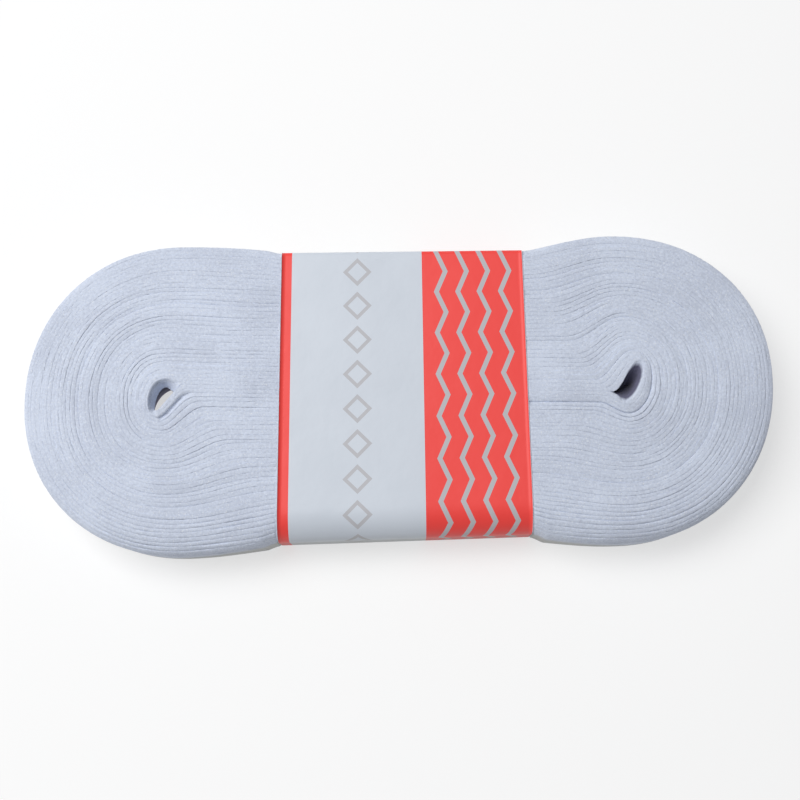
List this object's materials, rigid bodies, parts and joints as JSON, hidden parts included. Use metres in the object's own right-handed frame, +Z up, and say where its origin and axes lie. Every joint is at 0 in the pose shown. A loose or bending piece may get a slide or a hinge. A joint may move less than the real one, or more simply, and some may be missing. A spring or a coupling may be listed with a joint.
{
  "type": "roll of twill tape",
  "caption": "Flat oval roll of white cotton twill tape lying on its side, pinched at the waist by a printed paper band, with a small eye in the winding near each end.",
  "frame": {"origin": "on the surface that the roll lies on, under the middle of its length and breadth", "axes": "+X along the roll, towards the end with the narrow slanted eye; +Y across it, away from the picture's viewer; +Z up, across the width of the tape"},
  "size_m": [0.1576, 0.0662, 0.0146],
  "materials": {
    "tape": "matt bleached cotton twill, seen mostly on its woven edges",
    "paper": "smooth printed paper, slightly satin"
  },
  "bodies": {
    "root": {"tape_roll": "tape", "paper_band": "paper"}
  },
  "joints": []
}
